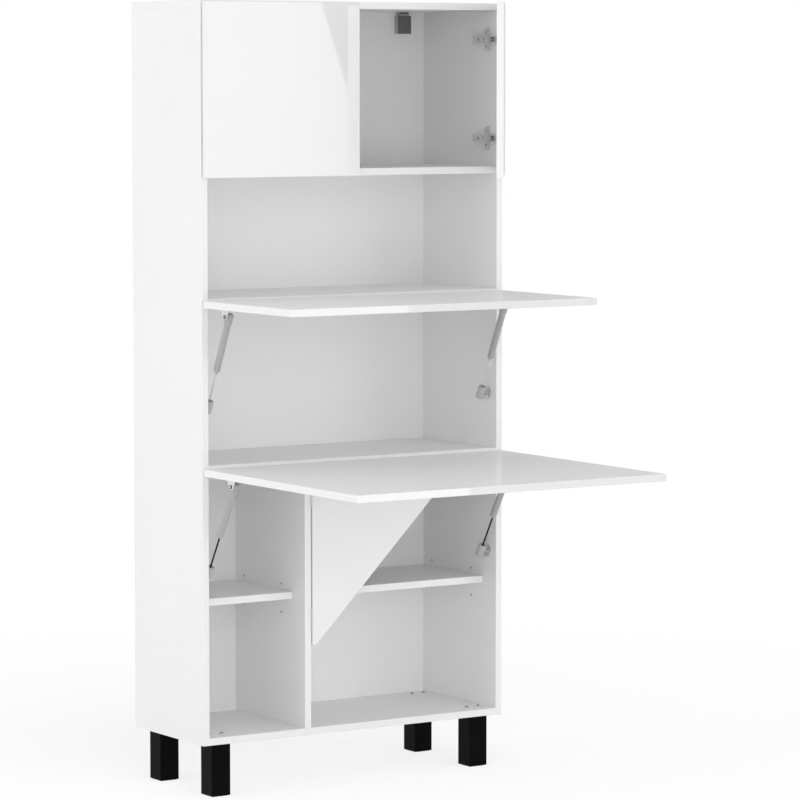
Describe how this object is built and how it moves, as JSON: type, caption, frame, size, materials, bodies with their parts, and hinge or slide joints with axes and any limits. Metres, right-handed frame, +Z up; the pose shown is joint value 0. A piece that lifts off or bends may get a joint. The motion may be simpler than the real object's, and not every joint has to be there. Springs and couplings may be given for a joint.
{
  "type": "fold down wall desk cabinet",
  "caption": "Tall white cabinet on square legs with hinged doors above, a lift-up leaf over a bay and a fold-down desk leaf held by gas struts and a swing-out triangular support.",
  "frame": {"origin": "on the floor, under the middle of the whole with both leaves level", "axes": "+X to the right seen from the front, -Y out of the front, +Z up"},
  "size_m": [0.8001, 0.9446, 1.766],
  "materials": {
    "white_melamine": "matt melamine on particle board",
    "white_gloss": "high gloss foil on fibre board",
    "white_hardboard": "painted hardboard",
    "black_wood": "black painted wood",
    "beech": "plain turned beech",
    "felt": "pressed felt",
    "nickel_steel": "nickel plated pressed steel",
    "zinc_steel": "zinc plated steel",
    "grey_steel": "grey powder coat",
    "chrome_rod": "ground and hard chromed",
    "grey_plastic": "moulded nylon"
  },
  "bodies": {
    "carcass": {"carcass_dowels": "beech", "shelf_pins": "zinc_steel", "front_left_leg": "black_wood", "front_right_leg": "black_wood", "back_left_leg": "black_wood", "back_right_leg": "black_wood", "leg_glides": "felt", "leg_bolts": "zinc_steel", "top_panel": "white_melamine", "bottom_panel": "white_melamine", "left_side_panel": "white_melamine", "right_side_panel": "white_melamine", "cupboard_shelf": "white_melamine", "upper_fixed_shelf": "white_melamine", "desk_fixed_shelf": "white_melamine", "divider": "white_melamine", "left_adjustable_shelf": "white_melamine", "right_adjustable_shelf": "white_melamine", "lower_back_panel": "white_hardboard", "upper_back_panel": "white_hardboard", "wall_anchors": "grey_plastic", "door_hinge_plates": "nickel_steel", "door_hinge_arms": "nickel_steel", "upper_leaf_hinge_plates": "nickel_steel", "upper_leaf_hinge_arms": "nickel_steel", "desk_leaf_hinge_plates": "nickel_steel", "desk_leaf_hinge_arms": "nickel_steel", "strut_posts": "nickel_steel", "support_fixed_hinge_leaves": "nickel_steel"},
    "left_door": {"left_door": "white_gloss", "left_door_hinge_cups": "nickel_steel", "left_door_hinge_pins": "nickel_steel"},
    "right_door": {"right_door": "white_gloss", "right_door_hinge_cups": "nickel_steel", "right_door_hinge_pins": "nickel_steel"},
    "upper_leaf": {"upper_leaf": "white_gloss", "upper_leaf_hinge_cups": "nickel_steel", "upper_leaf_hinge_pins": "nickel_steel", "upper_strut_brackets": "nickel_steel"},
    "desk_leaf": {"desk_leaf": "white_gloss", "desk_leaf_hinge_cups": "nickel_steel", "desk_leaf_hinge_pins": "nickel_steel", "desk_strut_brackets": "nickel_steel"},
    "desk_support": {"desk_support": "white_melamine", "support_moving_hinge_leaves": "nickel_steel", "support_hinge_pins": "nickel_steel"},
    "upper_left_strut_tube": {"upper_left_strut_cylinder": "grey_steel"},
    "upper_left_strut_piston": {"upper_left_strut_rod": "chrome_rod", "upper_left_strut_socket": "grey_plastic"},
    "upper_right_strut_tube": {"upper_right_strut_cylinder": "grey_steel"},
    "upper_right_strut_piston": {"upper_right_strut_rod": "chrome_rod", "upper_right_strut_socket": "grey_plastic"},
    "desk_left_strut_tube": {"desk_left_strut_cylinder": "grey_steel"},
    "desk_left_strut_piston": {"desk_left_strut_rod": "chrome_rod", "desk_left_strut_socket": "grey_plastic"},
    "desk_right_strut_tube": {"desk_right_strut_cylinder": "grey_steel"},
    "desk_right_strut_piston": {"desk_right_strut_rod": "chrome_rod", "desk_right_strut_socket": "grey_plastic"}
  },
  "joints": [
    {"name": "left_door_swing", "type": "hinge", "parent": "carcass", "child": "left_door", "pos_m": [-0.3895, 0.1497, 1.378], "axis": [0, 0, -1], "range_deg": [0, 110]},
    {"name": "right_door_swing", "type": "hinge", "parent": "carcass", "child": "right_door", "pos_m": [0.3895, 0.1497, 1.378], "axis": [0, 0, 1], "range_deg": [-55, 55]},
    {"name": "upper_leaf_fold", "type": "hinge", "parent": "carcass", "child": "upper_leaf", "pos_m": [0, 0.1497, 1.1015], "axis": [-1, 0, 0], "range_deg": [-90, 0]},
    {"name": "desk_leaf_fold", "type": "hinge", "parent": "carcass", "child": "desk_leaf", "pos_m": [0, 0.1522, 0.728], "axis": [-1, 0, 0], "range_deg": [-90, 0]},
    {"name": "desk_support_swing", "type": "hinge", "parent": "carcass", "child": "desk_support", "pos_m": [-0.1175, 0.1617, 0.3239], "axis": [0, 0, -1], "range_deg": [0, 90]},
    {"name": "upper_left_strut_tilt", "type": "hinge", "parent": "upper_leaf", "child": "upper_left_strut_tube", "pos_m": [-0.365, 0.1032, 1.0755], "axis": [-1, 0, 0], "range_deg": [0, 107.81]},
    {"name": "upper_left_strut_slide", "type": "slide", "parent": "upper_left_strut_tube", "child": "upper_left_strut_piston", "axis": [0, 0.4183, -0.9083], "range_m": [-0.03999, 0]},
    {"name": "upper_right_strut_tilt", "type": "hinge", "parent": "upper_leaf", "child": "upper_right_strut_tube", "pos_m": [0.365, 0.1032, 1.0755], "axis": [-1, 0, 0], "range_deg": [0, 107.81]},
    {"name": "upper_right_strut_slide", "type": "slide", "parent": "upper_right_strut_tube", "child": "upper_right_strut_piston", "axis": [0, 0.4183, -0.9083], "range_m": [-0.03999, 0]},
    {"name": "desk_left_strut_tilt", "type": "hinge", "parent": "desk_leaf", "child": "desk_left_strut_tube", "pos_m": [-0.365, 0.0792, 0.7045], "axis": [-1, 0, 0], "range_deg": [0, 112]},
    {"name": "desk_left_strut_slide", "type": "slide", "parent": "desk_left_strut_tube", "child": "desk_left_strut_piston", "axis": [0, 0.5051, -0.8631], "range_m": [-0.08015, 0]},
    {"name": "desk_right_strut_tilt", "type": "hinge", "parent": "desk_leaf", "child": "desk_right_strut_tube", "pos_m": [0.365, 0.0792, 0.7045], "axis": [-1, 0, 0], "range_deg": [0, 112]},
    {"name": "desk_right_strut_slide", "type": "slide", "parent": "desk_right_strut_tube", "child": "desk_right_strut_piston", "axis": [0, 0.5051, -0.8631], "range_m": [-0.08015, 0]}
  ],
  "couplings": [
    {"joint": "upper_left_strut_tilt", "follows": "upper_leaf_fold", "ratio": -1.1978},
    {"joint": "upper_left_strut_slide", "follows": "upper_leaf_fold", "m_per_rad": 0.025451},
    {"joint": "upper_right_strut_tilt", "follows": "upper_leaf_fold", "ratio": -1.1978},
    {"joint": "upper_right_strut_slide", "follows": "upper_leaf_fold", "m_per_rad": 0.025451},
    {"joint": "desk_left_strut_tilt", "follows": "desk_leaf_fold", "ratio": -1.2443},
    {"joint": "desk_left_strut_slide", "follows": "desk_leaf_fold", "m_per_rad": 0.051019},
    {"joint": "desk_right_strut_tilt", "follows": "desk_leaf_fold", "ratio": -1.2443},
    {"joint": "desk_right_strut_slide", "follows": "desk_leaf_fold", "m_per_rad": 0.051019}
  ]
}
